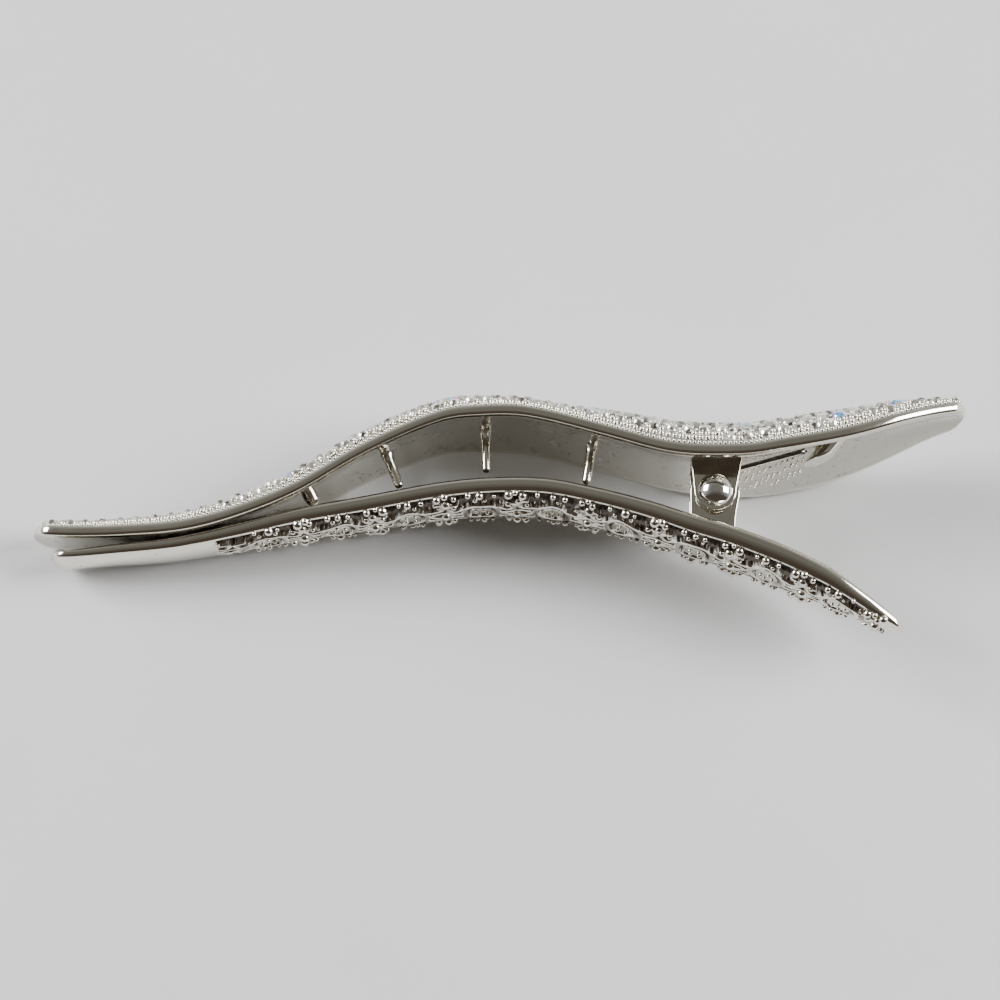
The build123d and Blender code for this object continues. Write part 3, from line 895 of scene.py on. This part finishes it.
def stone_prongs():
    """Small cast beads raised between the stones that hold them."""
    places = []
    for x, z, size in stone_places():
        for dx, dz in ((0.52, 0.98), (-0.52, 0.98), (0.52, -0.98), (-0.52, -0.98), (1.03, 0.0)):
            px, pz = x + dx, z + dz
            width = float(measures(UPPER, px)[1])
            if abs(pz) < width - 0.55:
                places.append((px, pz, 0.24, -0.02))
    beads("stone_prongs", UPPER, places, "upper", rim_polish, 8)


def filling_grains():
    """Raised metal grains wherever the edge rows leave bare bed beside the stones."""
    stones = np.array([(x, z, size) for x, z, size in stone_places()])
    places = []
    for inset in (0.85, 1.55):
        for x in np.arange(-81.0, 29.6, 0.8):
            width = float(measures(UPPER, x)[1])
            for side in (-1, 1):
                z = side * (width - inset)
                clearance = np.min(np.hypot(stones[:, 0] - x, stones[:, 1] - z) - stones[:, 2])
                if clearance > 0.12 and width > inset + 1:
                    places.append((x, z, 0.36, 0.0))
    beads("filling_grains", UPPER, places, "upper", rim_polish, 12)


def milgrain():
    """A row of fine beads along both edges between the polished band and the stones."""
    places = []
    for x in np.arange(-82.0, 30.2, 0.62):
        width = float(measures(UPPER, x)[1])
        for side in (-1, 1):
            places.append((x, side * (width - 0.2), 0.25, 0.03))
    beads("edge_milgrain", UPPER, places, "upper", milgrain_metal, 8)


def edge_beads():
    """Granule clusters between the motifs of the lower jaw, standing proud of its edge."""
    places = []
    clusters = ((-0.8, 0.7, 0.62), (0.85, 0.85, 0.56), (0.05, 1.9, 0.66),
                (0.1, 0.25, 0.45), (-1.1, 2.6, 0.42), (1.2, 2.9, 0.42))
    singles = ((0.0, 0.7, 0.55), (-1.5, 0.6, 0.4), (1.45, 0.75, 0.36), (0.75, 1.7, 0.3), (-0.8, 1.6, 0.34))
    for i in range(MOTIF_COUNT):
        centre = MOTIF_START + i * MOTIF_PITCH
        for side in (-1, 1):
            for start, group in ((centre + MOTIF_PITCH / 2, clusters), (centre, singles)):
                reach = float(measures(LOWER, start)[1])
                for k, (shift, inset, radius) in enumerate(group):
                    x = start + side * shift + 0.25 * math.sin(5.1 * i + 2.3 * k + side)
                    z = side * (reach - inset * reach / ORNAMENT_REACH)
                    size = radius * (0.88 + 0.2 * math.sin(3.7 * i + 1.9 * k + 2 * side))
                    places.append((x, z, size, 0.14))
        places.append((centre + MOTIF_PITCH / 2, 0.0, 0.62, 0.12))
        for k in range(4):
            a = math.pi / 2 * k + 0.4 * i
            places.append((centre + 0.75 * math.cos(a), 0.9 * math.sin(a), 0.26, 0.02))
    places = [p for p in places if p[0] < BEADS_TO]
    beads("edge_granules", LOWER, places, "lower", ornament_cast, 16)


def casting_grains():
    """Small grains left inside the casting beside the hinge."""
    points, faces = [], []
    for k in range(90):
        x = 3.4 + 8.2 * ((k * 0.618) % 1)
        z = -7.0 + 6.4 * ((k * 0.414 + 0.2) % 1)
        radius = 0.11 + 0.12 * ((k * 0.271) % 1)
        rim, width, _, _, hollow = measures(UPPER, x)
        inner = float(width) - LAND_WIDTH
        y = float(rim + arc_rise(inner, hollow, z))
        own, own_faces = small_ball(radius, 5, 10)
        base = len(points)
        points += [tuple(Vector((x, y, z)) + Vector(p)) for p in own]
        faces += [tuple(base + i for i in f) for f in own_faces]
    piece = make_object("casting_grains", points, faces, [ornament_cast], "upper")


# ---------------------------------------------------------------- studio
def studio():
    floor_material = material("paper_floor", roughness=0.75, colour=(0.62, 0.62, 0.62))
    tree = floor_material.node_tree
    where = node(tree, "ShaderNodeTexCoord")
    cloud = node(tree, "ShaderNodeTexNoise", Scale=40.0, Detail=3.0)
    tree.links.new(where.outputs["Object"], cloud.inputs["Vector"])
    mix = node(tree, "ShaderNodeMix", data_type="RGBA")
    tree.links.new(cloud.outputs["Fac"], mix.inputs["Factor"])
    mix.inputs[6].default_value = (0.60, 0.60, 0.605, 1)
    mix.inputs[7].default_value = (0.64, 0.64, 0.645, 1)
    tree.links.new(mix.outputs[2], tree.nodes["Principled BSDF"].inputs["Base Color"])
    size = 3.0
    mesh = bpy.data.meshes.new("floor")
    corners = [(-size, -size, 0), (size, -size, 0), (size, size, 0), (-size, size, 0)]
    mesh.from_pydata(corners, [], [(0, 1, 2, 3)])
    mesh.materials.append(floor_material)
    floor = bpy.data.objects.new("floor", mesh)
    bpy.context.scene.collection.objects.link(floor)
    room()
    for name, place, aim, width, height, power in (
        ("left_softbox", (-0.75, 0.25, 0.5), (0, 0, 0), 0.5, 0.4, 16.5),
        ("right_softbox", (0.75, 0.1, 0.45), (0, 0, 0), 0.4, 0.5, 15.0),
    ):
        data = bpy.data.lights.new(name, "AREA")
        data.shape = "RECTANGLE"
        data.size, data.size_y = width, height
        data.energy = power
        lamp = bpy.data.objects.new(name, data)
        lamp.location = place
        lamp.rotation_euler = (Vector(aim) - Vector(place)).to_track_quat("-Z", "Y").to_euler()
        bpy.context.scene.collection.objects.link(lamp)


def room():
    """A soft grey room: pale towards the horizon, dim overhead and dark brown in front."""
    world = bpy.data.worlds.new("room")
    bpy.context.scene.world = world
    world.use_nodes = True
    tree = world.node_tree
    where = node(tree, "ShaderNodeTexCoord")
    split = node(tree, "ShaderNodeSeparateXYZ")
    tree.links.new(where.outputs["Generated"], split.inputs[0])
    ramp = tree.nodes.new("ShaderNodeValToRGB")
    stops = ramp.color_ramp.elements
    stops[0].position, stops[0].color = 0.35, (0.9, 0.9, 0.9, 1)
    stops[1].position, stops[1].color = 0.9, (0.27, 0.265, 0.24, 1)
    tree.links.new(split.outputs["Z"], ramp.inputs["Fac"])
    front = node(tree, "ShaderNodeMapRange")
    tree.links.new(split.outputs["Y"], front.inputs["Value"])
    front.inputs["From Min"].default_value = -0.1
    front.inputs["From Max"].default_value = -0.5
    mix = node(tree, "ShaderNodeMix", data_type="RGBA")
    tree.links.new(front.outputs["Result"], mix.inputs["Factor"])
    tree.links.new(ramp.outputs["Color"], mix.inputs[6])
    mix.inputs[7].default_value = (0.11, 0.088, 0.07, 1)
    tree.links.new(mix.outputs[2], tree.nodes["Background"].inputs["Color"])
    tree.nodes["Background"].inputs["Strength"].default_value = 0.7


def camera():
    data = bpy.data.cameras.new("camera")
    data.lens = 120
    data.sensor_width = 36
    cam = bpy.data.objects.new("camera", data)
    aim = Vector((0.0, 0.00183, 0.008))
    azimuth, elevation, roll = math.radians(-5.37), math.radians(69.24), math.radians(6.24)
    distance = 0.4122
    level = math.cos(elevation)
    back = Vector((math.sin(azimuth) * level, -math.cos(azimuth) * level, math.sin(elevation)))
    cam.matrix_world = (
        Matrix.Translation(aim + distance * back)
        @ (-back).to_track_quat("-Z", "Y").to_matrix().to_4x4()
        @ Matrix.Rotation(roll, 4, "Z")
    )
    bpy.context.scene.collection.objects.link(cam)
    bpy.context.scene.camera = cam


upper_jaw()
lower_jaw()
ears()
hinge_rivet()
pins()
spring_keeper()
torsion_spring()
rhinestones()
stone_prongs()
filling_grains()
milgrain()
edge_beads()
casting_grains()
studio()
camera()
